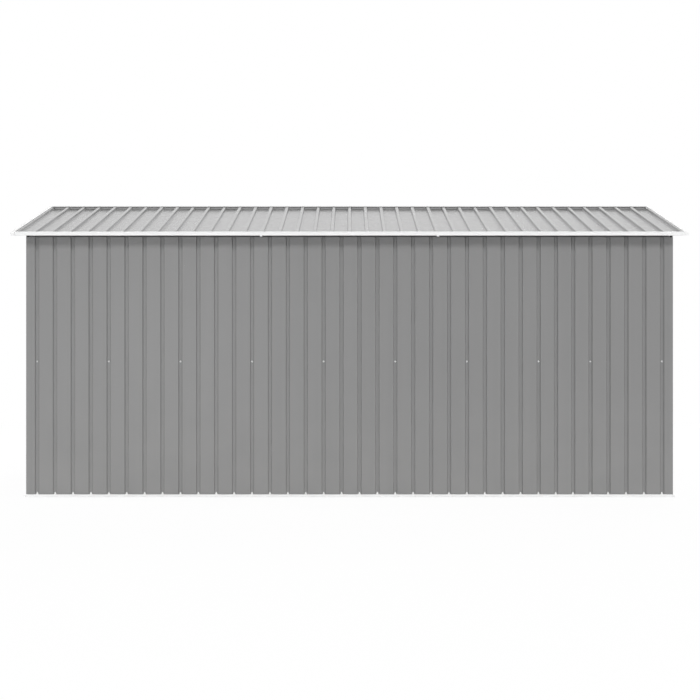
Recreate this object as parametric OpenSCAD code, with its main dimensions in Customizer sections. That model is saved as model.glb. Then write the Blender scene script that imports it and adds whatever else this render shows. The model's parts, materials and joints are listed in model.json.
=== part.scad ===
// Metal storage shed: ribbed steel sheets screwed to a folded steel frame, under a low gable roof.
// X runs along the shed with the door end at +X, Y runs across it, and Z is up from the ground.
// Left and right are those of a person who stands outside and faces the door.

/* [Walls] */
// Length over the wall sheets
wall_len = 3761; // [3000:1:4600]
// Width over the wall sheets
wall_wid = 2430; // [2200:2:3000]
// Height of the roof's underside at the wall face
eave_h = 1534; // [1300:2:2000]
// Least flat width left between a corner and the first rib's middle
corner_flat = 40; // [36:1:60]
// Gap between the roof and the upper ends of the long walls' sheets
wall_gap = 21; // [15:1:30]

/* [Sheets] */
// Thickness of the ribbed sheets
sheet_t = 0.5; // [0.4:0.1:0.8]
// Distance between the ribs of a whole wall sheet
rib_pitch = 104.3; // [90:0.1:120]
// Distance between the ribs of a narrower wall sheet that makes up a run
short_pitch = 100.6; // [90:0.1:120]
// Distance between the ribs of a roof sheet
roof_rib_pitch = 101.8; // [90:0.1:120]
// Width of a rib where it leaves the flat of the sheet
rib_mouth = 25; // [24:0.5:34]
// Width of a rib at its crown
rib_crown = 16.5; // [14:0.5:18]
// Depth of a rib
rib_depth = 14; // [10:1:18]
// Inside radius of the folds
bend_r = 2; // [1:0.5:3]
// Rib spaces in a whole sheet
bays_per_sheet = 4; // [3:1:6]
// Flat lip beside the rib at a lapped edge
lap_lip = 12; // [8:1:16]
// Play between two lapped sheets
lap_gap = 0.3; // [0.2:0.1:0.4]
// Width of the notch at the foot of each rib
notch_w = 14.5; // [10:0.5:16]
// Height of that notch
notch_h = 13; // [8:1:20]

/* [Frame] */
// Thickness of the folded frame rails
rail_t = 1.2; // [0.8:0.1:2]
// How far the rails reach into the room from the backs of the ribs
rail_depth = 25; // [18:1:40]
// How far the floor rail stands out past the wall face
skirt_out = 12; // [6:1:20]
// Height of the floor rail's ledge, where the sheets stand
ledge_h = 15; // [10:1:25]
// Height of the floor rail's upstand
upstand_h = 45; // [35:1:60]
// Height of the middle of the mid rails
mid_rail_h = 788; // [600:1:900]
// Width of the mid rails' face
mid_rail_w = 40; // [30:1:60]
// Depth of the top rails below the eave height
top_rail_drop = 60; // [52:1:80]
// Width of the sloped flange of a top rail
top_rail_flange = 25; // [20:1:60]
// Width of each leg of a corner angle
corner_leg = 28; // [24:1:34]
// Thickness of a corner angle
corner_t = 0.8; // [0.6:0.1:1.2]
// Radius of the anchor holes in the floor rails
anchor_r = 4.5; // [3:0.5:6]
// Distance of the end anchor holes from the wall's ends
anchor_inset = 150; // [120:5:300]
// Distance between the two middle anchor holes of a floor rail
anchor_mid = 1200; // [600:10:1600]

/* [Roof] */
// Slope of each roof plane in degrees
roof_slope = 11.4; // [8:0.2:16]
// How far the eave trims stand out past the wall face
eave_overhang = 70; // [62:1:110]
// How far the gable trims stand out past the wall face
gable_overhang = 79.5; // [72:0.5:120]
// Least width left between a gable trim's face and the outermost rib's middle
verge_flat = 25; // [24:1:60]
// Thickness of the trims and of the ridge cap
trim_t = 0.8; // [0.6:0.1:1.2]
// Height of the eave trim's face
trim_h = 20; // [19:0.5:34]
// Width of the eave trim's flange over the rib crowns
eave_flange = 18; // [10:1:30]
// Width of the trims' narrow return
trim_lip = 7; // [5:1:10]
// Width of the flange that seats the gable trim under the roof sheets
gable_seat = 22; // [12:1:22]
// Distance of the eave trim's two joints from the middle
trim_joint = 511; // [300:1:900]
// Width of the clips over those joints
clip_w = 14; // [10:1:30]
// How far the clips hang below the trim
clip_drop = 6; // [2:1:10]
// Width of each wing of the ridge cap
cap_wing = 50; // [40:1:120]
// Gap between a roof sheet's upper end and the ridge
ridge_gap = 8; // [4:1:20]

/* [Gables and beams] */
// Thickness of the gable panels
gable_t = 0.6; // [0.5:0.1:1]
// How far the gable panels lap down over the walls
gable_lap = 42; // [30:1:44]
// Width of the gable panels' flange under the roof sheets
gable_flange = 40; // [25:1:60]
// Length of a vent louvre
louvre_l = 110; // [60:5:160]
// Height of a louvre's slot
louvre_h = 9; // [6:1:12]
// Distance between louvres
louvre_pitch = 22; // [18:1:30]
// Louvres in a vent
louvre_n = 4; // [2:1:5]
// Height of the vents above the gable panel's foot
vent_z = 50; // [45:1:70]
// Distance of each vent from the middle of its gable
vent_y = 430; // [250:10:600]
// Half width of the ridge beam
ridge_beam_w = 45; // [30:1:60]
// Depth of the ridge beam's legs
ridge_beam_d = 40; // [30:1:80]
// Distance of the purlins from the ridge
purlin_y = 610; // [400:10:800]
// Depth of a purlin's web
purlin_d = 50; // [30:1:80]
// Width of a purlin's upper flange
purlin_flange = 40; // [25:1:60]

/* [Doors] */
// Rib spaces in the wall sheet at each side of the doorway
door_side_bays = 5; // [4:1:6]
// Distance from that sheet's last rib to the doorway's edge
jamb_reach = 47; // [40:1:50]
// Width of a door jamb's outer flange
jamb_flange = 30; // [20:1:30]
// Depth of the door header below the eave height
header_drop = 56; // [50:1:70]
// Width of the door track
track_w = 34; // [30:1:44]
// Height of the door track
track_h = 34; // [26:1:34]
// Width of the track's lips
track_lip = 10; // [7:1:11]
// Depth of a door leaf's frame
leaf_d = 22; // [20:1:30]
// Width of the leaf frame's faces
leaf_face = 30; // [24:1:50]
// How far a closed leaf laps behind its jamb
leaf_lap = 28; // [15:1:40]
// Gap between the two closed leaves
leaf_gap = 4; // [2:0.5:10]
// Height of a leaf's lower edge above the ground
leaf_foot = 8; // [6:1:14]
// Radius of the rollers that carry the leaves
roller_r = 8; // [6:0.5:10]
// Height of the middle of the door handles
handle_z = 850; // [500:10:1100]
// Height of a door handle's grip
handle_l = 130; // [90:5:200]
// Radius of the grip
grip_r = 5; // [4:0.5:6]
// How far the grip's middle stands off the door
grip_out = 26; // [22:1:34]
// Radius of the grip's two bends
grip_bend = 14; // [8:1:18]
// Thickness of the handle's back plate
plate_t = 3; // [2:0.5:4]

/* [Hidden] */
$fn = 48;
bend_steps = 3;
seat = 0.1;
play = 0.5;
cut = 2;

face_x = wall_len / 2;
face_y = wall_wid / 2;
rib_back = sheet_t + rib_depth;
lap_step = sheet_t + lap_gap;
lap_reach = rib_mouth / 2 + lap_lip;
end_gap = sheet_t + play;
room_reach = rib_back + rail_depth;
lap_out = lap_step + seat;
wall_top = eave_h - 4;
side_top = eave_h - wall_gap;
gable_foot = eave_h - gable_lap;
gable_y = face_y - corner_leg - 1;

roof_x = face_x + gable_overhang;
roof_y = face_y + eave_overhang;
crown_h = rib_depth + sheet_t + lap_step;
verge_gap = trim_t + 4;
trim_end = roof_x - gable_seat - 1;
trim_top_z = roof_z(roof_y) + (crown_h + lap_gap + trim_t) / cos(roof_slope);
trim_foot_z = trim_top_z - trim_h;
beam_drop = (gable_t + 2 * seat) / cos(roof_slope);

header_foot = eave_h - header_drop;
track_v = rib_back + rail_t;
track_end = 20;
roller_gap = 6;
track_top = eave_h - 3;
track_foot = track_top - track_h;
leaf_v = track_v + (track_w - leaf_d) / 2;
leaf_top = track_foot - roller_gap;
width_bays = bay_count(wall_wid, rib_pitch, corner_flat);
door_half = (width_bays / 2 - door_side_bays) * rib_pitch - jamb_reach;
leaf_w = door_half + leaf_lap - leaf_gap / 2;

grey = "#8f8f8f";
white = "#f2f2f0";
zinc = "#c9cccd";

// Height of the roof sheets' underside at a distance y from the ridge
function roof_z(y) = eave_h + (face_y - abs(y)) * tan(roof_slope);

// Sheets along a run: whole sheets, with a narrower one before the last to make up the length
function bay_count(run, pitch, flat) = floor((run - 2 * flat) / pitch);
function sheet_bays(n) =
    let (whole = floor(n / bays_per_sheet), rest = n - whole * bays_per_sheet)
    rest == 0 ? [for (i = [1:whole]) bays_per_sheet]
              : concat([for (i = [1:1:whole - 1]) bays_per_sheet], [rest, bays_per_sheet]);
function bay_w(bays, pitch, short) = bays < bays_per_sheet ? short : pitch;
function width_before(list, i, pitch, short) =
    i == 0 ? 0 : list[i - 1] * bay_w(list[i - 1], pitch, short) + width_before(list, i - 1, pitch, short);

// Folded sections: a path of one face of the metal, thickened to its left, with round folds
function unit(v) = v / norm(v);
function left_of(v) = [-v[1], v[0]];
function turned(v, a) = [v[0] * cos(a) - v[1] * sin(a), v[0] * sin(a) + v[1] * cos(a)];
function reversed(path) = [for (i = [len(path) - 1:-1:0]) path[i]];
function side(path, i) = left_of(unit(path[i + 1] - path[i]));
function beside(path, d) = [
    for (i = [0:len(path) - 1])
        i == 0 ? path[0] + d * side(path, 0)
        : i == len(path) - 1 ? path[i] + d * side(path, i - 1)
        : path[i] + d * (side(path, i - 1) + side(path, i)) / (1 + side(path, i - 1) * side(path, i))
];
function fold(a, p, b, r) =
    let (u = unit(a - p), v = unit(b - p), half = acos(u * v) / 2,
         middle = p + unit(u + v) * r / sin(half), start = p + u * r / tan(half) - middle,
         sweep = sign(cross(p - a, b - p)) * (180 - 2 * half))
    [for (k = [0:bend_steps]) middle + turned(start, sweep * k / bend_steps)];
function folded(path, r_left, r_right) = [
    for (i = [0:len(path) - 1])
        each (i == 0 || i == len(path) - 1) ? [path[i]]
        : fold(path[i - 1], path[i], path[i + 1],
               cross(path[i] - path[i - 1], path[i + 1] - path[i]) > 0 ? r_left : r_right)
];
function sheet_section(path, t, r) =
    concat(folded(path, r + t, r), reversed(folded(beside(path, t), r, r + t)));

// Path of a ribbed sheet: ribs and thickness both go towards +Y, and shift is its lap offset
function rib_path(ribs, pitch, start, end, shift) =
    let (flank = atan2(rib_depth, (rib_mouth - rib_crown) / 2), grow = shift * tan(flank / 2),
         mouth = rib_mouth / 2 + grow, crown = rib_crown / 2 + grow)
    concat(
        [[-start, shift]],
        [for (i = [0:ribs - 1])
            each [[i * pitch - mouth, shift], [i * pitch - crown, shift + rib_depth],
                  [i * pitch + crown, shift + rib_depth], [i * pitch + mouth, shift]]],
        [[(ribs - 1) * pitch + end, shift]]
    );

module ribbed_sheet(bays, pitch, length, start, end, shift) {
    linear_extrude(length)
        polygon(sheet_section(rib_path(bays + 1, pitch, start, end, shift), sheet_t, bend_r));
}

// Every second sheet of a run: under sheets seat on the frame, over sheets lap them at both edges
module sheet_run(run, flat, pitch, short, length, over, step) {
    list = sheet_bays(bay_count(run, pitch, flat));
    last = len(list) - 1;
    ribbed = width_before(list, last + 1, pitch, short);
    edge = (run - ribbed) / 2 - end_gap;
    for (i = [over ? 1 : 0:2:last])
        translate([width_before(list, i, pitch, short) - ribbed / 2, 0, 0])
            ribbed_sheet(list[i], bay_w(list[i], pitch, short), length, i == 0 ? edge : lap_reach,
                         i == last ? edge : lap_reach, over ? step : 0);
}

// The notch at the foot of a rib, where the floor rail shows
module rib_notch() {
    translate([0, rib_back + cut, 0])
        rotate([90, 0, 0])
            linear_extrude(rib_depth / 2 + cut)
                polygon([[-notch_w / 2, -cut], [notch_w / 2, -cut],
                         [notch_w / 5, notch_h], [-notch_w / 5, notch_h]]);
}

module wall_sheets(run, top, over) {
    list = sheet_bays(bay_count(run, rib_pitch, corner_flat));
    ribbed = width_before(list, len(list), rib_pitch, short_pitch);
    translate([0, 0, ledge_h])
        difference() {
            sheet_run(run, corner_flat, rib_pitch, short_pitch, top - ledge_h, over, -lap_step);
            for (i = [0:len(list) - 1], k = [0:list[i]])
                translate([width_before(list, i, rib_pitch, short_pitch) - ribbed / 2
                           + k * bay_w(list[i], rib_pitch, short_pitch), 0, 0])
                    rib_notch();
        }
}

// Places a piece drawn along X, with +Y into the room, on one of the four walls
module on_left() { translate([0, -face_y, 0]) children(); }
module on_right() { mirror([0, 1, 0]) on_left() children(); }
module on_rear() { translate([-face_x, 0, 0]) rotate([0, 0, -90]) children(); }
module on_front() { mirror([1, 0, 0]) on_rear() children(); }

// A folded bar along X, from a section drawn with its first axis into the room
module bar(path, t, from, to) {
    translate([from, 0, 0])
        rotate([90, 0, 90])
            linear_extrude(to - from)
                polygon(sheet_section(path, t, bend_r));
}

// Floor rail: upstand behind the ribs, ledge, skirt and ground flange, mitred at both ends
module floor_rail(half) {
    path = [[rib_back, upstand_h], [rib_back, ledge_h], [-skirt_out, ledge_h],
            [-skirt_out, 0], [room_reach, 0]];
    end = half + skirt_out;
    wide = skirt_out + room_reach + 1;
    intersection() {
        bar(path, rail_t, -end, end);
        translate([0, 0, -1])
            linear_extrude(upstand_h + 2)
                polygon([[-end, -skirt_out], [end, -skirt_out],
                         [end - wide, wide - skirt_out], [wide - end, wide - skirt_out]]);
    }
}

module anchored_floor_rail() {
    difference() {
        floor_rail(face_x);
        for (x = [face_x - anchor_inset, anchor_mid / 2], way = [-1, 1])
            translate([way * x, rib_back + rail_depth / 2, -1])
                cylinder(r = anchor_r, h = rail_t + 2);
    }
}

// Channel rail between two heights, open to the room
module channel_rail(low, high, half) {
    bar([[room_reach, high], [rib_back, high], [rib_back, low], [room_reach, low]], rail_t, -half, half);
}

module mid_rail(half) {
    channel_rail(mid_rail_h - mid_rail_w / 2, mid_rail_h + mid_rail_w / 2, half);
}

// Top rail of a long wall: it backs the sheets, steps in over them and meets the roof with a sloped flange
module top_rail() {
    function seat_z(v) = roof_z(face_y - v) - beam_drop;
    inner = room_reach + top_rail_flange;
    low = eave_h - top_rail_drop;
    shelf = side_top - 2;
    half = face_x - room_reach - 1;
    bar([[inner, seat_z(inner)], [room_reach, seat_z(room_reach)], [room_reach, shelf],
         [rib_back, shelf], [rib_back, low], [rib_back + rail_depth / 2, low]], rail_t, -half, half);
}

module rear_top_rail() {
    channel_rail(eave_h - top_rail_drop, wall_top - 2, face_y - rib_back - rail_t - seat);
}

// Corner angle outside the end sheets of two walls
module corner_angle() {
    foot = ledge_h;
    out = lap_out + corner_t;
    translate([face_x, -face_y, foot])
        linear_extrude(side_top - foot)
            polygon(sheet_section([[-corner_leg, -out], [out, -out], [out, corner_leg]],
                                  corner_t, bend_r / 2));
}

// One louvre: a slot under a pressed hood with closed ends, on a panel whose outside is towards +X
module louvre_slot() {
    translate([-cut, -louvre_l / 2, 0])
        cube([gable_t + 2 * cut, louvre_l, louvre_h]);
}

module hood_part(y, wide, outline) {
    translate([0, y + wide, 0])
        rotate([90, 0, 0])
            linear_extrude(wide)
                polygon(outline);
}

module louvre_hood() {
    root = gable_t / 2;
    brow = louvre_h + 3 * gable_t;
    lean = gable_t + louvre_h * 0.8;
    hood_part(-louvre_l / 2, louvre_l, [[root, brow], [root, brow - 2 * gable_t],
                                        [lean - gable_t, 0], [lean, 0]]);
    for (y = [-louvre_l / 2 - gable_t, louvre_l / 2])
        hood_part(y, gable_t, [[root, brow], [root, 0], [lean, 0]]);
}

module vents() {
    for (way = [-1, 1], k = [0:louvre_n - 1])
        translate([0, way * vent_y, gable_foot + vent_z + k * louvre_pitch])
            children();
}

// Gable panel of the door end: face, louvres, sloped flange, and a lintel fold over the doorway
module gable_panel(lintel) {
    function under(y) = roof_z(y) - seat;
    strip = gable_t / cos(roof_slope);
    fold_in = lap_out + rib_back - play;
    translate([face_x + lap_out, 0, 0]) {
        difference() {
            union() {
                rotate([90, 0, 90])
                    linear_extrude(gable_t)
                        polygon([[-gable_y, gable_foot], [gable_y, gable_foot], [gable_y, under(gable_y)],
                                 [0, under(0)], [-gable_y, under(gable_y)]]);
                translate([gable_t - gable_flange, 0, 0])
                    rotate([90, 0, 90])
                        linear_extrude(gable_flange)
                            polygon([[-gable_y, under(gable_y)], [0, under(0)], [gable_y, under(gable_y)],
                                     [gable_y, under(gable_y) - strip], [0, under(0) - strip],
                                     [-gable_y, under(gable_y) - strip]]);
                if (lintel)
                    translate([-fold_in, 1 - door_half, gable_foot])
                        cube([fold_in + gable_t, 2 * door_half - 2, gable_t]);
            }
            vents() louvre_slot();
        }
        vents() louvre_hood();
    }
}

// Ridge beam: an inverted trough under the upper ends of the roof sheets
module ridge_beam() {
    top = roof_z(0) - beam_drop;
    shoulder = roof_z(ridge_beam_w) - beam_drop;
    half = face_x + lap_out - seat;
    bar([[-ridge_beam_w, shoulder - ridge_beam_d], [-ridge_beam_w, shoulder], [0, top],
         [ridge_beam_w, shoulder], [ridge_beam_w, shoulder - ridge_beam_d]], -rail_t, -half, half);
}

// Purlin of the left slope: a channel whose upper flange follows the slope
module purlin() {
    function seat_z(y) = roof_z(y) - beam_drop;
    half = face_x + lap_out - seat;
    outer = purlin_y + purlin_flange;
    bar([[-purlin_y, seat_z(purlin_y)], [-outer, seat_z(outer)], [-outer, seat_z(outer) - purlin_d],
         [-purlin_y, seat_z(outer) - purlin_d]], rail_t, -half, half);
}

// Frame of the left roof slope: X along the shed, +Y off the roof, +Z down the slope from the ridge
module on_left_slope() {
    translate([0, 0, roof_z(0)])
        rotate([90 + roof_slope, 0, 0])
            children();
}

module roof_sheets(over) {
    clear = trim_t + crown_h * sin(roof_slope) + 1;
    length = (roof_y - clear) / cos(roof_slope) - ridge_gap;
    on_left_slope()
        translate([0, 0, ridge_gap])
            sheet_run(2 * (roof_x - verge_gap + end_gap), verge_flat - verge_gap + end_gap,
                      roof_rib_pitch, roof_rib_pitch, length, over, lap_step);
}

module ridge_cap() {
    rise = (crown_h + 2 * seat) / cos(roof_slope);
    wing = cap_wing * cos(roof_slope);
    bar([[-wing, roof_z(wing) + rise], [0, roof_z(0) + rise], [wing, roof_z(wing) + rise]],
        trim_t, -trim_end, trim_end);
}

// Eave trim of the left side: a flange over the rib crowns, a face and a return, in three lengths
module eave_trim() {
    out = -eave_overhang;
    path = [[out + eave_flange, trim_top_z + eave_flange * tan(roof_slope)], [out, trim_top_z],
            [out, trim_foot_z], [out + trim_lip, trim_foot_z]];
    joints = [-trim_end - lap_gap, -trim_joint, trim_joint, trim_end + lap_gap];
    on_left()
        for (i = [0:2])
            bar(path, trim_t, joints[i] + lap_gap, joints[i + 1] - lap_gap);
}

// Clips that bridge the eave trim's joints
module eave_clips() {
    function clip_z(v) = trim_top_z + (v + eave_overhang) * tan(roof_slope)
                         + (trim_t + 2 * seat) / cos(roof_slope);
    out = -eave_overhang - trim_t - seat;
    inner = out + trim_lip + 2;
    foot = trim_foot_z - clip_drop;
    on_left()
        for (way = [-1, 1])
            bar([[inner, clip_z(inner)], [out, clip_z(out)], [out, foot], [inner, foot]], trim_t,
                way * trim_joint - clip_w / 2, way * trim_joint + clip_w / 2);
}

// Gable trim of the left slope at the door end, with a tab that closes its lower end
module gable_trim() {
    top = (trim_top_z - roof_z(roof_y)) * cos(roof_slope);
    under = -seat - trim_t;
    path = [[roof_x - gable_seat, under], [roof_x, under], [roof_x, top], [roof_x - trim_lip, top]];
    intersection() {
        on_left_slope()
            translate([0, 0, -eave_overhang])
                linear_extrude((roof_y + eave_overhang) / cos(roof_slope) + eave_overhang)
                    polygon(sheet_section(path, trim_t, bend_r / 2));
        translate([0, -roof_y, 0])
            cube([2 * roof_x, roof_y - seat, 2 * eave_h]);
    }
    translate([roof_x - gable_seat, -roof_y, trim_foot_z])
        cube([gable_seat, trim_t, trim_h]);
}

module both_slopes() {
    children();
    mirror([0, 1, 0]) children();
}

module door_header() {
    half = face_y - rib_back - rail_t - seat;
    bar([[rib_back + rail_depth / 2, wall_top + 2], [rib_back, wall_top + 2], [rib_back, header_foot]],
        rail_t, -half, half);
}

// Track over the doorway: a channel with lips that carry the rollers
module door_track() {
    inner = track_v + track_w;
    half = face_y - rib_back - rail_t - track_end;
    bar([[inner - track_lip, track_foot], [inner, track_foot], [inner, track_top - rail_t - seat],
         [track_v, track_top - rail_t - seat], [track_v, track_foot], [track_v + track_lip, track_foot]],
        rail_t, -half, half);
}

// Jamb that wraps the edge of the wall sheet beside the doorway
module door_jamb() {
    edge = door_half - 3;
    back = rib_back - play;
    translate([0, 0, ledge_h])
        linear_extrude(gable_foot - ledge_h - 2)
            polygon(sheet_section([[edge + jamb_flange, -trim_t], [edge, -trim_t], [edge, back],
                                   [edge + jamb_flange * 2 / 3, back]], trim_t, bend_r / 2));
}

// Door leaves are drawn on the front wall, X along the wall and Y into the room, for the leaf at +X
module leaf_stile(from, way) {
    translate([from, leaf_v, leaf_foot])
        linear_extrude(leaf_top - leaf_foot)
            polygon(sheet_section(way > 0 ? [[leaf_face, leaf_d], [0, leaf_d], [0, 0], [leaf_face, 0]]
                                          : [[-leaf_face, 0], [0, 0], [0, leaf_d], [-leaf_face, leaf_d]],
                                  rail_t, bend_r));
}

module leaf_rail(low, way) {
    path = [[leaf_v + leaf_d, low + way * leaf_face], [leaf_v + leaf_d, low], [leaf_v, low],
            [leaf_v, low + way * leaf_face]];
    start = leaf_gap / 2 + leaf_face + lap_gap;
    bar(way > 0 ? reversed(path) : path, rail_t, start, start + leaf_w - 2 * (leaf_face + lap_gap));
}

// Hanger: a strap from the leaf's top rail up through the track's slot to a roller on its lips
module leaf_hanger(x) {
    middle = leaf_v + leaf_d / 2;
    axle = track_foot + rail_t + roller_r + seat;
    strap = track_w - 2 * track_lip - 6;
    translate([x - roller_r, middle - strap / 2, leaf_top - rail_t])
        cube([2 * roller_r, strap, axle - leaf_top + rail_t]);
    translate([x, middle - track_w / 2 + rail_t + 2, axle])
        rotate([-90, 0, 0])
            cylinder(r = roller_r, h = track_w - 2 * rail_t - 4);
}

module door_frame() {
    leaf_stile(leaf_gap / 2, 1);
    leaf_stile(leaf_gap / 2 + leaf_w, -1);
    leaf_rail(leaf_foot, 1);
    leaf_rail(leaf_top, -1);
    for (share = [0.2, 0.8])
        leaf_hanger(leaf_gap / 2 + share * leaf_w);
}

module door_sheet() {
    room = leaf_w - 2 * (rail_t + play);
    n = bay_count(room, rib_pitch, leaf_face + rib_mouth / 2);
    edge = (room - n * rib_pitch) / 2;
    foot = leaf_foot + rail_t + play;
    translate([leaf_gap / 2 + rail_t + play + edge, leaf_v + rail_t + seat, foot])
        ribbed_sheet(n, rib_pitch, leaf_top - rail_t - play - foot, edge, edge, 0);
}

// Handle: a bowed grip on a back plate with round ends
module door_handle() {
    post = handle_l / 2 - grip_r;
    plate_r = 2.2 * grip_r;
    translate([leaf_gap / 2 + leaf_face / 2, leaf_v, handle_z]) {
        for (way = [0, 1])
            mirror([0, 0, way]) {
                translate([0, 0, post])
                    rotate([90, 0, 0]) {
                        cylinder(r = grip_r, h = grip_out - grip_bend);
                        cylinder(r = plate_r, h = plate_t);
                    }
                translate([0, grip_bend - grip_out, post - grip_bend])
                    rotate([0, -90, 0])
                        rotate_extrude(angle = -90)
                            translate([grip_bend, 0])
                                circle(r = grip_r);
            }
        translate([0, -grip_out, grip_bend - post])
            cylinder(r = grip_r, h = 2 * (post - grip_bend));
        translate([-plate_r, -plate_t, -post])
            cube([2 * plate_r, plate_t, 2 * post]);
    }
}

// Wall sheet between a front corner and the doorway
module door_side_sheet() {
    edge = face_y - width_bays / 2 * rib_pitch - end_gap;
    translate([-width_bays / 2 * rib_pitch, 0, ledge_h])
        difference() {
            ribbed_sheet(door_side_bays, rib_pitch, wall_top - ledge_h, edge, jamb_reach, 0);
            for (k = [0:door_side_bays])
                translate([k * rib_pitch, 0, 0])
                    rib_notch();
        }
}

// The two halves of the door end mirror each other
module front_left() { on_front() mirror([1, 0, 0]) children(); }
module front_right() { on_front() children(); }
module both_leaves() {
    front_left() children();
    front_right() children();
}

color(white) on_left() anchored_floor_rail();  // left_floor_rail
color(white) on_right() anchored_floor_rail();  // right_floor_rail
color(white) on_rear() floor_rail(face_y);  // rear_floor_rail
color(white) on_front() floor_rail(face_y);  // front_floor_rail
color(grey) on_left() wall_sheets(wall_len, side_top, false);  // left_wall_under_sheets
color(grey) on_left() wall_sheets(wall_len, side_top, true);  // left_wall_over_sheets
color(grey) on_right() wall_sheets(wall_len, side_top, false);  // right_wall_under_sheets
color(grey) on_right() wall_sheets(wall_len, side_top, true);  // right_wall_over_sheets
color(grey) on_rear() wall_sheets(wall_wid, wall_top, false);  // rear_wall_under_sheets
color(grey) on_rear() wall_sheets(wall_wid, wall_top, true);  // rear_wall_over_sheets
color(grey) front_left() door_side_sheet();  // front_left_wall_sheet
color(grey) front_right() door_side_sheet();  // front_right_wall_sheet
color(grey) corner_angle();  // front_left_corner_angle
color(grey) mirror([0, 1, 0]) corner_angle();  // front_right_corner_angle
color(grey) mirror([1, 0, 0]) corner_angle();  // rear_left_corner_angle
color(grey) mirror([1, 0, 0]) mirror([0, 1, 0]) corner_angle();  // rear_right_corner_angle
color(zinc) on_left() mid_rail(face_x - room_reach - 1);  // left_mid_rail
color(zinc) on_right() mid_rail(face_x - room_reach - 1);  // right_mid_rail
color(zinc) on_rear() mid_rail(face_y - rib_back - rail_t - seat);  // rear_mid_rail
color(grey) on_left() top_rail();  // left_top_rail
color(grey) on_right() top_rail();  // right_top_rail
color(zinc) on_rear() rear_top_rail();
color(white) on_front() door_header();
color(grey) gable_panel(true);  // front_gable_panel
color(grey) mirror([1, 0, 0]) gable_panel(false);  // rear_gable_panel
color(zinc) ridge_beam();
color(zinc) purlin();  // left_purlin
color(zinc) mirror([0, 1, 0]) purlin();  // right_purlin
color(grey) roof_sheets(false);  // left_roof_under_sheets
color(grey) roof_sheets(true);  // left_roof_over_sheets
color(grey) mirror([0, 1, 0]) roof_sheets(false);  // right_roof_under_sheets
color(grey) mirror([0, 1, 0]) roof_sheets(true);  // right_roof_over_sheets
color(grey) ridge_cap();
color(white) eave_trim();  // left_eave_trim
color(white) mirror([0, 1, 0]) eave_trim();  // right_eave_trim
color(white) both_slopes() eave_clips();  // eave_trim_clips
color(white) both_slopes() gable_trim();  // front_gable_trims
color(white) mirror([1, 0, 0]) both_slopes() gable_trim();  // rear_gable_trims
color(zinc) on_front() door_track();
color(white) both_leaves() door_jamb();  // door_jambs
color(white) front_left() door_frame();  // left_door_frame
color(white) front_right() door_frame();  // right_door_frame
color(grey) front_left() door_sheet();  // left_door_sheet
color(grey) front_right() door_sheet();  // right_door_sheet
color(white) both_leaves() door_handle();  // door_handles
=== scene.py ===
# %% [markdown]
# # A metal storage shed
# The real shed is a kit: rib-rolled steel sheets, coated grey in the mill, are lapped and screwed to
# a folded frame, and white trims close the roof's edges. The sheets and rails are exact CAD solids,
# so nothing is remodelled here.

# %% Load the frame
import json
import math

import bmesh
import bpy
from mathutils import Matrix, Vector


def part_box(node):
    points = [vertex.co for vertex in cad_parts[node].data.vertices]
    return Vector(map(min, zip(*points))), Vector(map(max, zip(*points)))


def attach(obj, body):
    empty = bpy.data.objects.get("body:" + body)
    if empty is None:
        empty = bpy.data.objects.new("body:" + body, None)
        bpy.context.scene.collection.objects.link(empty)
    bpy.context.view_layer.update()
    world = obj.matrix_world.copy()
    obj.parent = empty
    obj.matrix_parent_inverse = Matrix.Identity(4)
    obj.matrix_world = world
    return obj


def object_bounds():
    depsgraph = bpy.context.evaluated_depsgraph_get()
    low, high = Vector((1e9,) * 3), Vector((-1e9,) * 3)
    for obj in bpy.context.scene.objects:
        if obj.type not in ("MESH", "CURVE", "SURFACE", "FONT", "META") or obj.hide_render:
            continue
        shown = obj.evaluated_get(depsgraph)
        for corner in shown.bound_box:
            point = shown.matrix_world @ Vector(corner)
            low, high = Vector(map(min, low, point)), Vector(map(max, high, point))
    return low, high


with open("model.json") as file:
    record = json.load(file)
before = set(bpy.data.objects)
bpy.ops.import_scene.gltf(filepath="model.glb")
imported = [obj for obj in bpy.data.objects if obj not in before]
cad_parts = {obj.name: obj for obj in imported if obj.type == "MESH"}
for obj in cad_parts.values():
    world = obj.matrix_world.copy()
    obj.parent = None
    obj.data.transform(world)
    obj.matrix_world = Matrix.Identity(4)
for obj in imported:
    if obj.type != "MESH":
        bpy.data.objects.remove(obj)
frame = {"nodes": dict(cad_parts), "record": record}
cad_low, cad_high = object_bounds()
print(f"{len(frame['nodes'])} CAD pieces, {(cad_high - cad_low)[0]:.3f} m long")

# %% [markdown]
# ## The camera
# The photo looks square at one long wall from some distance, so its verticals stay vertical and the
# roof shows only as a thin band. A long lens with no tilt repeats that. The distance follows from
# how much shorter the ridge looks than the eave.

# %% Set up the camera
PICTURE = 700
FOCAL_PIXELS = 1690
EYE = Vector((0.0026, -11.05, 0.855))

scene = bpy.context.scene
lens = bpy.data.cameras.new("camera")
lens.lens = lens.sensor_width * FOCAL_PIXELS / PICTURE
camera = bpy.data.objects.new("camera", lens)
camera.location = EYE
camera.rotation_euler = (math.radians(90), 0, 0)
scene.collection.objects.link(camera)
scene.camera = camera
print(f"lens {lens.lens:.1f} mm, {cad_low.y - EYE.y:.2f} m from the eave")

# %% [markdown]
# ## Maths on wires
# Finishes are node trees, and most of a tree is arithmetic. A small class wraps a socket so that
# `1 - mask * 0.2` adds the Math nodes by itself, and one method adds every other kind of node. The
# alternative, naming and linking each node by hand, hides the idea behind the wiring.


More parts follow.
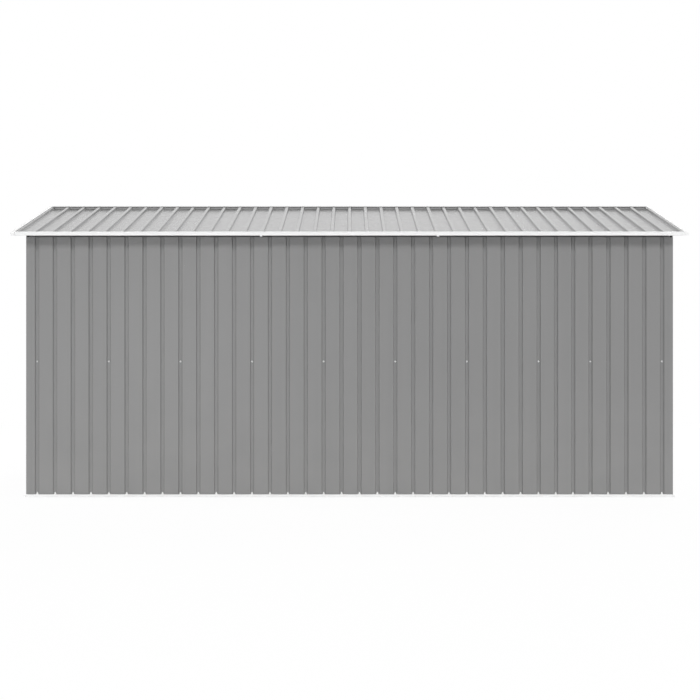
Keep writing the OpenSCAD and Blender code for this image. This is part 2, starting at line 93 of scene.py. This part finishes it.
# %% A wire that does arithmetic
class Wire:
    """An output socket; sums, differences and products of wires become Math nodes."""

    def __init__(self, socket):
        self.socket = socket
        self.tree = socket.id_data

    @staticmethod
    def node(tree, kind, settings=None, sockets=None, out=0):
        """Adds a node: its settings first, then the values or wires of its sockets."""
        made = tree.nodes.new(kind)
        for name, value in (settings or {}).items():
            setattr(made, name, value)
        for name, value in (sockets or {}).items():
            if isinstance(value, Wire):
                tree.links.new(value.socket, made.inputs[name])
            else:
                made.inputs[name].default_value = value
        return Wire(made.outputs[out]) if made.outputs else None

    def maths(self, operation, *values):
        return Wire.node(self.tree, "ShaderNodeMath", {"operation": operation}, dict(enumerate(values)))

    def __add__(self, other):
        return self.maths("ADD", self, other)

    def __sub__(self, other):
        return self.maths("SUBTRACT", self, other)

    def __rsub__(self, other):
        return self.maths("SUBTRACT", other, self)

    def __mul__(self, other):
        return self.maths("MULTIPLY", self, other)

    __radd__ = __add__
    __rmul__ = __mul__


print("wires add, subtract and multiply")

# %% [markdown]
# ## Textures that know the object's size
# Every finish reads the object coordinates. The CAD pieces all sit at the origin, so these are
# metres in the shed's own frame: a noise of scale 1000 has grains of about a millimetre, and Z is the
# height above the ground, which dust and rain follow. UV maps would have to be made first and would
# break at each fold. A noise has plain, usual or rich detail, and its mean is a half.

# %% Places and patterns
PLAIN, USUAL, RICH = 1.0, 2.0, 3.0
MEAN = 0.5


def new_finish(name):
    """A material with an empty tree; returns it, its tree and the object coordinates."""
    finish = bpy.data.materials.new(name)
    finish.use_nodes = True
    finish.node_tree.nodes.clear()
    tree = finish.node_tree
    return finish, tree, Wire.node(tree, "ShaderNodeTexCoord", out="Object")


def noise(tree, place, scale, detail=USUAL):
    return Wire.node(tree, "ShaderNodeTexNoise", None, {"Vector": place, "Scale": scale, "Detail": detail})


def stretched_noise(tree, place, scales, detail):
    """Noise with a scale of its own along each axis."""
    along = Wire.node(tree, "ShaderNodeMapping", None, {"Vector": place, "Scale": scales})
    return noise(tree, along, 1.0, detail)


def smooth(tree, value, start, end):
    """Goes softly from 0 at start to 1 at end."""
    return Wire.node(tree, "ShaderNodeMapRange", {"interpolation_type": "SMOOTHSTEP"},
                     {"Value": value, "From Min": start, "From Max": end})


print("patterns: noise, stretched noise, smooth")

# %% [markdown]
# ## From patterns to a surface
# Colours are mixed with a Mix node, because a Math node would turn them grey. Heights become a Bump
# node, and one Bump can stand on another. Whatever is the same all over goes straight onto the
# shader's own sockets as a plain number.


# %% Colours, bumps and the shader
def grey(tone):
    return (tone, tone, tone, 1.0)


def blend(tree, factor, first, second):
    return Wire.node(tree, "ShaderNodeMix", {"data_type": "RGBA"}, {0: factor, 6: first, 7: second}, out=2)


def mottled(tree, factor, tone, spread):
    """A grey that strays to both sides by a share of its tone."""
    return blend(tree, factor, grey(tone * (1 - spread)), grey(tone * (1 + spread)))


def bump(tree, height, distance, below=None):
    sockets = {"Height": height, "Distance": distance, "Strength": 1.0}
    if below:
        sockets["Normal"] = below
    return Wire.node(tree, "ShaderNodeBump", None, sockets)


def surface(tree, **sockets):
    """The shader and the output; varying values arrive as wires, the rest as plain numbers."""
    named = {name.replace("_", " "): value for name, value in sockets.items()}
    shader = Wire.node(tree, "ShaderNodeBsdfPrincipled", None, named, out="BSDF")
    Wire.node(tree, "ShaderNodeOutputMaterial", None, {"Surface": shader})


print("surface tools: grey, blend, mottled, bump, surface")

# %% [markdown]
# ## Coated steel
# The sheets are thin steel strip that is galvanised and coated in the mill, then rolled. The coat
# does two things with light. Its pigment is matt and grainy and throws light back towards the lamp,
# so the flanks of the ribs stay soft: that is the diffuse roughness. Its binder is smooth and mirrors
# the white studio at a flat angle, which is why the roof looks so pale from the front. The flats are
# never quite flat, rain leaves faint upright runs, and a haze of dust thins out up the wall. One
# recipe serves the grey sheets and the white trims, because only pigment and gloss differ.

# %% Coated steel finish
CLOUDS, DUST_PATCHES, PEEL, SPECKS = 1.7, 5, 420, 900
RUNS, WAVES = (16, 16, 0.6), (3.2, 3.2, 1.1)
CLOUD_SHARE, RUN_SHARE, SPECK_SHARE = 0.35, 0.35, 0.3
PEEL_HEIGHT, WAVE_HEIGHT = 0.00012, 0.0008
PIGMENT_GRAIN, UNEVEN = 0.6, 0.08
DUST, DUST_TOP, DUST_ROUGH = (0.40, 0.392, 0.38, 1.0), 0.9, 0.15


def coated_steel(name, tone, rough, dusty):
    finish, tree, place = new_finish(name)
    height = Wire.node(tree, "ShaderNodeSeparateXYZ", None, {"Vector": place}, out="Z")
    clouds, specks = noise(tree, place, CLOUDS), noise(tree, place, SPECKS, RICH)
    runs = stretched_noise(tree, place, RUNS, RICH)
    dust = (1 - smooth(tree, height, 0.0, DUST_TOP)) * noise(tree, place, DUST_PATCHES) * dusty
    coat = mottled(tree, clouds * CLOUD_SHARE + runs * RUN_SHARE + specks * SPECK_SHARE, tone, UNEVEN)
    waves = bump(tree, stretched_noise(tree, place, WAVES, PLAIN), WAVE_HEIGHT)
    surface(tree, Base_Color=blend(tree, dust, coat, DUST), Diffuse_Roughness=PIGMENT_GRAIN,
            Roughness=rough + (runs - MEAN) * UNEVEN + dust * DUST_ROUGH,
            Normal=bump(tree, noise(tree, place, PEEL, RICH), PEEL_HEIGHT, waves))
    return finish


coated_grey = coated_steel("coated_grey", 0.252, 0.20, 0.24)
coated_white = coated_steel("coated_white", 0.84, 0.34, 0.01)
print("made", coated_grey.name, "and", coated_white.name)

# %% [markdown]
# ## Galvanised frame
# Rails, beams and the door track are bare galvanised strip. Zinc freezes in flat crystals, the
# spangle, which catch the light one by one. A Voronoi texture has the same cells: each cell's random
# value sets a slightly different brightness and roughness. A noise would give clouds with no edges.
# The screws are plated with the same metal in much finer crystals.

# %% Galvanised finish
BLOOM, PITS, PIT_DEPTH = 6, 400, 0.00003
CELL_SHARE, BLOOM_SHARE = 0.7, 0.3
CELL_ROUGH, BLOOM_ROUGH = 0.12, 0.1


def galvanised(name, cells_per_metre, dark, bright, rough):
    finish, tree, place = new_finish(name)
    cell = Wire.node(tree, "ShaderNodeTexVoronoi", {"feature": "F1"},
                     {"Vector": place, "Scale": cells_per_metre}, out="Color")
    lot = Wire.node(tree, "ShaderNodeSeparateColor", None, {"Color": cell}, out="Red")
    bloom = noise(tree, place, BLOOM, RICH)
    shine = blend(tree, lot * CELL_SHARE + bloom * BLOOM_SHARE, grey(dark), grey(bright))
    surface(tree, Base_Color=shine, Metallic=1.0,
            Roughness=rough + lot * CELL_ROUGH + (bloom - MEAN) * BLOOM_ROUGH,
            Normal=bump(tree, noise(tree, place, PITS), PIT_DEPTH))
    return finish


spangled_zinc = galvanised("spangled_zinc", 90, 0.50, 0.66, 0.30)
plated_steel = galvanised("plated_steel", 700, 0.72, 0.84, 0.22)
print("made", spangled_zinc.name, "and", plated_steel.name)

# %% [markdown]
# ## Moulded plastic, rubber and foam
# The handles are injection moulded with a fine spark grain, so that the hand's prints don't show.
# The sealing washers under the screws are black rubber, and the seals under the ridge are grey foam.
# All three need only a fine bump and a little unevenness in tone and gloss, so one recipe does.

# %% Moulded finishes
HANDLING, GRAIN_HEIGHT = 24, 0.00004
WEAR_TONE, WEAR_ROUGH = 0.04, 0.12


def moulded(name, tone, rough, grain):
    finish, tree, place = new_finish(name)
    wear = noise(tree, place, HANDLING, RICH)
    surface(tree, Base_Color=mottled(tree, wear, tone, WEAR_TONE),
            Roughness=rough + (wear - MEAN) * WEAR_ROUGH,
            Normal=bump(tree, noise(tree, place, grain), GRAIN_HEIGHT))
    return finish


white_plastic = moulded("white_plastic", 0.80, 0.42, 1600)
black_rubber = moulded("black_rubber", 0.03, 0.65, 900)
grey_foam = moulded("grey_foam", 0.33, 0.90, 500)
print("made", white_plastic.name + ",", black_rubber.name, "and", grey_foam.name)

# %% [markdown]
# ## Dress the CAD pieces
# The record names a finish for each piece, so one table turns those names into the materials above.
# The meshes stay as they are: only their material slots change.

# %% Assign the finishes
FINISHES = {"grey_paint": coated_grey, "white_paint": coated_white, "zinc": spangled_zinc,
            "white_plastic": white_plastic}
for part in frame["record"]["subparts"]:
    for slot in frame["nodes"][part["node"]].material_slots:
        slot.material = FINISHES[part["material_slot"]]

# %% [markdown]
# ## Turned forms
# Screw heads, washers and rivets are all turned or pressed round a middle line. A stack of rings,
# skinned from one to the next and closed at both ends, gives each its real chamfer and flange. A
# cylinder with a bevel would need a modifier for every screw.

# %% Skin a stack of rings
MM = 0.001


def turned(mesh, place, rings, sides, slot):
    """Skins rings of (radius, height) in mm into a closed form that stands along the place's Z."""
    turns = [math.tau * k / sides for k in range(sides)]
    loops = [[mesh.verts.new(place @ (Vector((r * math.cos(a), r * math.sin(a), h)) * MM)) for a in turns]
             for r, h in rings]
    faces = [mesh.faces.new(loops[0][::-1]), mesh.faces.new(loops[-1])]
    for low, high in zip(loops, loops[1:]):
        for k in range(sides):
            n = (k + 1) % sides
            faces.append(mesh.faces.new((low[k], low[n], high[n], high[k])))
    for face in faces:
        face.material_index = slot


print(f"rings are given in units of {MM} m")

# %% [markdown]
# ## Three kinds of fastener
# Self-tapping screws with a hexagon head, a flange and a rubber washer pin the laps to the frame.
# Flatter pan-head screws hold the ridge cap and the door jambs, and blind rivets, with the dimple
# that their pulled pin leaves, hold the door sheets. The sizes are the usual ones for such kits.

# %% Screws and rivets
STEEL, RUBBER = 0, 1
HEXAGON, FLANGE_SIDES, PAN_SIDES, RIVET_SIDES = 6, 20, 18, 14


def screw(mesh, place):
    turned(mesh, place, [(6.0, 0), (6.2, 0.5), (6.0, 1.1)], FLANGE_SIDES, RUBBER)
    turned(mesh, place, [(5.8, 0.9), (5.8, 1.6), (4.8, 2.3)], FLANGE_SIDES, STEEL)
    turned(mesh, place, [(4.3, 2.0), (4.5, 2.4), (4.5, 4.5), (3.8, 5.0)], HEXAGON, STEEL)


def cap_screw(mesh, place):
    turned(mesh, place, [(5.2, 0), (5.2, 0.5)], PAN_SIDES, RUBBER)
    head = [(4.6, 0.4), (4.6, 1.4), (4.2, 2.6), (3.2, 3.5), (1.6, 4.0)]
    turned(mesh, place, head, PAN_SIDES, STEEL)


def rivet(mesh, place):
    head = [(3.2, 0), (3.2, 0.4), (2.8, 1.0), (1.9, 1.4), (1.2, 1.5), (1.1, 1.0)]
    turned(mesh, place, head, RIVET_SIDES, STEEL)


print("fasteners:", screw.__name__ + ",", cap_screw.__name__, "and", rivet.__name__)

# %% [markdown]
# ## Rows of fasteners
# A whole row becomes one mesh and one piece that rides on the shed. Instances of a single screw would
# be lighter, but a joined row is easier to name and to export.


# %% From a mesh to a piece
def piece_of(mesh, name, finishes):
    """Turns a finished mesh into a piece that rides on the shed."""
    data = bpy.data.meshes.new(name)
    mesh.to_mesh(data)
    mesh.free()
    for finish in finishes:
        data.materials.append(finish)
    piece = bpy.data.objects.new(name, data)
    scene.collection.objects.link(piece)
    print(f"{name}: {len(data.polygons)} faces")
    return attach(piece, "root")


def fasteners(name, kind, spots, outward):
    """One piece of many fasteners: spots in metres, all facing outward."""
    turn = Vector(outward).to_track_quat("Z", "Y").to_matrix().to_4x4()
    mesh = bmesh.new()
    for spot in spots:
        kind(mesh, Matrix.Translation(spot) @ turn)
    return piece_of(mesh, name, [plated_steel, black_rubber])


print("ready to place rows")

# %% [markdown]
# ## Where the laps are
# The photo shows a screw at half height in the groove of every lap. The sheets of a run are four rib
# spaces wide, with one narrower sheet before the last to make up the length. The same sums that lay
# out the CAD sheets give the rib of each lap, so no screw is placed by hand. Every second sheet lies
# over its neighbours, so a lapped rib lies one sheet further out than a plain one, and its screw too.
# The walls' faces and the rail behind the screws are read from the CAD pieces' boxes.

# %% Lap ribs
PITCH, NARROW_PITCH, WHOLE = 0.1043, 0.1006, 4
LONG_WALL = [WHOLE] * 7 + [3, WHOLE]
END_WALL = [WHOLE] * 4 + [2, WHOLE]
GROOVE, LAP_STEP = 0.014, 0.0008


def lap_rows(bays):
    """Place from the run's middle and depth below the wall's face: first rib, lap ribs, last rib."""
    widths = [n * (PITCH if n == WHOLE else NARROW_PITCH) for n in bays]
    places = [sum(widths[:i]) - sum(widths) / 2 for i in range(len(bays) + 1)]
    lapped = GROOVE - LAP_STEP
    last = lapped if len(bays) % 2 == 0 else GROOVE
    depths = [GROOVE] + [lapped] * (len(bays) - 1) + [last]
    return list(zip(places, depths))


long_rows, end_rows = lap_rows(LONG_WALL), lap_rows(END_WALL)
print(len(long_rows), "screws on a long wall,", len(end_rows), "on the rear end")

# %% Wall screws
face_x = -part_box("rear_wall_under_sheets")[0].x
face_y = -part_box("left_wall_under_sheets")[0].y
rail_low, rail_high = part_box("left_mid_rail")
screw_z = (rail_low.z + rail_high.z) / 2
fasteners("left_wall_screws", screw, [(x, d - face_y, screw_z) for x, d in long_rows], (0, -1, 0))
fasteners("right_wall_screws", screw, [(x, face_y - d, screw_z) for x, d in long_rows], (0, 1, 0))
fasteners("rear_wall_screws", screw, [(d - face_x, -y, screw_z) for y, d in end_rows], (-1, 0, 0))

# %% [markdown]
# ## Ridge screws
# The ridge cap lies on the crowns of the roof ribs and is screwed to them a little below the ridge, on
# both slopes. The outermost ribs have no screw, because the cap ends over their middle. From the eye's
# height the heads only just break the ridge's line. They stand square to the slope, which is why the
# row takes an outward direction.

# %% Screws of the ridge cap
ROOF_PITCH, ROOF_RIBS = 0.1018, 39
SLOPE = math.radians(11.4)
CAP_SCREW_Y = 0.027
SIDES = (("left", -1), ("right", 1))
roof_ribs = [(k - (ROOF_RIBS - 1) / 2) * ROOF_PITCH for k in range(ROOF_RIBS)]
cap_z = cad_high.z - CAP_SCREW_Y * math.tan(SLOPE)
for side, way in SIDES:
    spots = [(x, way * CAP_SCREW_Y, cap_z) for x in roof_ribs[1:-1]]
    fasteners(f"{side}_ridge_screws", cap_screw, spots, (0, way * math.sin(SLOPE), math.cos(SLOPE)))

# %% [markdown]
# ## Blocks on the slope
# Two more pieces lie on the roof: foam under the ridge cap, and white flanges along its two ends. Both
# are low blocks with softly rounded edges. One helper lays a foot and a top on the slope and joins
# them. It works in the slope's own directions, down from the ridge and square off the roof, because in
# the shed's frame every corner would need its own sum.

# %% Lay a block on the slope
RIDGE_LIFT = 0.0166


def slope_block(mesh, way, layers):
    """Joins two layers, each a height off the slope, a span along the ridge and a reach down from it."""
    down = Vector((0, way * math.cos(SLOPE), -math.sin(SLOPE)))
    up = Vector((0, way * math.sin(SLOPE), math.cos(SLOPE)))
    ridge = Vector((0, 0, cad_high.z - RIDGE_LIFT))
    loops = []
    for height, (start, end), (back, front) in layers:
        corners = ((start, back), (end, back), (end, front), (start, front))
        loops.append([mesh.verts.new(ridge + Vector((x, 0, 0)) + down * reach + up * height)
                      for x, reach in corners])
    foot, top = loops
    mesh.faces.new(foot[::-1])
    mesh.faces.new(top)
    for k in range(len(foot)):
        n = (k + 1) % len(foot)
        mesh.faces.new((foot[k], foot[n], top[n], top[k]))


def rounded_piece(mesh, name, radius, finish):
    """Rounds every edge, turns the faces outward and makes the piece."""
    bmesh.ops.bevel(mesh, geom=mesh.edges, offset=radius, segments=2, profile=0.5, affect="EDGES")
    bmesh.ops.recalc_face_normals(mesh, faces=mesh.faces)
    return piece_of(mesh, name, [finish])


print(f"the slope starts {RIDGE_LIFT} m under the ridge cap's top")

# %% [markdown]
# ## Ridge seals
# Between the ribs a block of grey foam fills the gap under the ridge cap, set back a little from its
# edge: in the photo those gaps are a row of dark dashes. The blocks' sides lean as the ribs do, and
# their fronts slope under the cap. A single long strip would have to run through the ribs.

# %% Foam under the ridge cap
SEAL_FOOT, SEAL_TOP, SEAL_ROUND = 0.0015, 0.0152, 0.0012
RIB_FOOT, RIB_TOP = 0.0136, 0.0096
FOOT_REACH, TOP_REACH = (0.031, 0.047), (0.031, 0.040)
for side, way in SIDES:
    blocks = bmesh.new()
    for rib, following in zip(roof_ribs, roof_ribs[1:]):
        foot = (SEAL_FOOT, (rib + RIB_FOOT, following - RIB_FOOT), FOOT_REACH)
        top = (SEAL_TOP, (rib + RIB_TOP, following - RIB_TOP), TOP_REACH)
        slope_block(blocks, way, (foot, top))
    rounded_piece(blocks, f"{side}_ridge_seals", SEAL_ROUND, grey_foam)

# %% [markdown]
# ## Verge flanges
# In the photo the grey of the roof starts about 22 mm inside its ends: each gable trim has a white
# flange that lies over the outer half of the last rib. The CAD trim ends in a narrow lip, so the flange
# carries that lip on, flush with it and as thick, and is as wide as the trim's own box. Its inner edge
# leaves a thin shadow on the rib.

# %% Flanges of the gable trims
FLANGE_FOOT, FLANGE_TOP, FLANGE_ROUND = 0.01555, 0.01635, 0.0003
LIP, FLANGE_REACH = 0.0065, (-0.0028, 1.3073)
trim_low, trim_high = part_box("front_gable_trims")
for side, way in SIDES:
    plates = bmesh.new()
    for end in (-1, 1):
        span = (end * (trim_high.x - LIP), end * trim_low.x)
        slope_block(plates, way, [(height, span, FLANGE_REACH) for height in (FLANGE_FOOT, FLANGE_TOP)])
    rounded_piece(plates, f"{side}_verge_flanges", FLANGE_ROUND, coated_white)

# %% [markdown]
# ## The two ends
# The gable panels are screwed to the flats of the wall sheets under them, and the jambs to the sheets
# beside the doorway. None of this shows in the photo. It follows how such kits go together, with the
# same fasteners, and takes its places from the CAD pieces' own boxes.

# %% Gable screws
GABLE_SKIN, GABLE_SCREW_UP = 0.0015, 0.020
FRONT_FLATS, REAR_FLATS, MIDDLE = (7, 9), (1, 3, 5, 7, 9), 0.5
gable_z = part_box("front_gable_panel")[0].z + GABLE_SCREW_UP
for name, flats, way in (("front", FRONT_FLATS, 1), ("rear", REAR_FLATS, -1)):
    spots = [(way * (face_x + GABLE_SKIN), across * (k + MIDDLE) * PITCH, gable_z)
             for k in flats for across in (-1, 1)]
    fasteners(f"{name}_gable_screws", screw, spots, (way, 0, 0))

# %% Jamb screws
JAMB_EDGE, JAMB_SHARES = 0.012, (0.06, 0.35, 0.65, 0.94)
jamb_low, jamb_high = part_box("door_jambs")
jamb_rows = [jamb_low.z + share * (jamb_high.z - jamb_low.z) for share in JAMB_SHARES]
jamb_spots = [(jamb_high.x, way * (jamb_high.y - JAMB_EDGE), z) for z in jamb_rows for way in (-1, 1)]
fasteners("door_jamb_screws", cap_screw, jamb_spots, (1, 0, 0))

# %% [markdown]
# ## Rivets of the door leaves
# Each door sheet is riveted to its frame along the closing stile and the bottom rail. The rivets sit
# on the flats of the sheet, over the middle of the frame's strip behind it. One leaf's places are
# worked out, and the other leaf mirrors them.

# %% Door rivets
LEAF_IN, FRAME_MIDDLE = 0.0217, 0.015
STILE_SHARES, RAIL_RIVETS, RAIL_START = (0.1, 0.3, 0.78, 0.94), 5, 0.75
leaf_low, leaf_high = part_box("right_door_sheet")
stile_rows = [leaf_low.z + share * (leaf_high.z - leaf_low.z) for share in STILE_SHARES]
rail_rows = [leaf_low.y + (k + RAIL_START) * PITCH for k in range(RAIL_RIVETS)]
leaf_spots = [(leaf_low.y + FRAME_MIDDLE, z) for z in stile_rows]
leaf_spots += [(y, leaf_low.z + FRAME_MIDDLE) for y in rail_rows]
for side, way in SIDES:
    spots = [(face_x - LEAF_IN, way * y, z) for y, z in leaf_spots]
    fasteners(f"{side}_door_rivets", rivet, spots, (1, 0, 0))

# %% [markdown]
# ## White world
# The photo is a cut-out on pure white. More light would give a white ground too, but it would bleach
# the trims. Instead the world has two strengths: pure white for the camera and for reflections, and a
# plain dim sky for the light that falls on the shed. The Light Path node tells the rays apart.

# %% World
AMBIENT = 0.14


def sees_backdrop(tree):
    """1 for camera, glossy and transmission rays, and 0 for the light that falls on the object."""
    rays = [Wire.node(tree, "ShaderNodeLightPath", out=f"Is {kind} Ray")
            for kind in ("Camera", "Glossy", "Transmission")]
    seen = rays[0] + rays[1] + rays[2]
    return seen.maths("MINIMUM", seen, 1.0)


world = bpy.data.worlds.new("studio")
scene.world = world
world.use_nodes = True
sky = world.node_tree
sky.nodes.clear()
backdrop = Wire.node(sky, "ShaderNodeBackground", None, {"Color": grey(1.0), "Strength": 1.0})
daylight = Wire.node(sky, "ShaderNodeBackground", None, {"Color": grey(1.0), "Strength": AMBIENT})
both = Wire.node(sky, "ShaderNodeMixShader", None, {0: sees_backdrop(sky), 1: daylight, 2: backdrop})
Wire.node(sky, "ShaderNodeOutputWorld", None, {"Surface": both})
print(f"white backdrop, sky light {AMBIENT}")

# %% [markdown]
# ## Pale floor
# The floor is pale paper that bounces light up the walls and keeps a faint shadow. Most of what the
# camera sees of it is a white glow, as on the world, and further out the glow takes over, so that no
# horizon shows. A plain white plane would end in a grey edge against the backdrop.

# %% Floor finish
FLOOR_TONE, FLOOR_WHITE = 0.86, 0.95
FADE_START, FADE_END = 2.5, 9.0
FIBRES, FIBRE_TONE, PAPER_ROUGH = 3, 0.02, 0.9

paper, tree, place = new_finish("pale_floor")
fibres = blend(tree, noise(tree, place, FIBRES), grey(FLOOR_TONE), grey(FLOOR_TONE + FIBRE_TONE))
matt = Wire.node(tree, "ShaderNodeBsdfPrincipled", None,
                 {"Base Color": fibres, "Roughness": PAPER_ROUGH}, out="BSDF")
glow = Wire.node(tree, "ShaderNodeEmission", None, {"Color": grey(1.0), "Strength": 1.0})
away = Wire.node(tree, "ShaderNodeVectorMath", {"operation": "LENGTH"}, {0: place}, out="Value")
whiteness = FLOOR_WHITE + smooth(tree, away, FADE_START, FADE_END) * (1 - FLOOR_WHITE)
lit = sees_backdrop(tree) * whiteness
mixed = Wire.node(tree, "ShaderNodeMixShader", None, {0: lit, 1: matt, 2: glow})
Wire.node(tree, "ShaderNodeOutputMaterial", None, {"Surface": mixed})
print("made", paper.name)

# %% Lay the floor
FLOOR_SIZE, FLOOR_CELLS = 60, 12
grid = bmesh.new()
bmesh.ops.create_grid(grid, x_segments=FLOOR_CELLS, y_segments=FLOOR_CELLS, size=FLOOR_SIZE / 2)
ground = bpy.data.meshes.new("floor")
grid.to_mesh(ground)
grid.free()
ground.materials.append(paper)
floor = bpy.data.objects.new("floor", ground)
floor.location.z = cad_low.z
scene.collection.objects.link(floor)
print(f"floor {FLOOR_SIZE} m wide")

# %% [markdown]
# ## Lamps
# In the photo the eave throws a soft shadow on the top of the wall, and the wall is a little brighter
# on the left. The key is a sun with a wide disc, as even along the wall as a very large softbox, high
# in front: it makes the soft shadow. A softbox beside the camera, left of the middle, gives the slope
# in brightness and fills the grooves from the front. Three more light the other sides to the same
# level. Reflections show the white backdrop and not the lamps, so the gloss stays even.

# %% Hang the lamps
AIM = Vector((0, 0, 0.9))


def hang_lamp(name, kind, spot, power, **sizes):
    """A lamp at a spot that looks at the shed."""
    lamp = bpy.data.lights.new(name, kind)
    lamp.energy = power
    for size, value in sizes.items():
        setattr(lamp, size, value)
    holder = bpy.data.objects.new(name, lamp)
    holder.location = spot
    holder.rotation_euler = (AIM - Vector(spot)).to_track_quat("-Z", "Y").to_euler()
    holder.visible_glossy = False
    holder.visible_camera = False
    scene.collection.objects.link(holder)
    print(f"{name}: power {power}")


hang_lamp("key", "SUN", (1.3, -14, 12.5), 1.75, angle=math.radians(20))
hang_lamp("front_softbox", "AREA", (-2.3, -10.5, 0.7), 250, size=3)
hang_lamp("back_softbox", "AREA", (3, 12, 8), 1200, size=6)
hang_lamp("door_end_softbox", "AREA", (12, -2, 6), 750, size=5)
hang_lamp("rear_end_softbox", "AREA", (-12, 2, 6), 850, size=5)

# %% [markdown]
# ## Finish
# The Standard view transform shows colours as they are written.

# %% Finish
scene.view_settings.view_transform = "Standard"
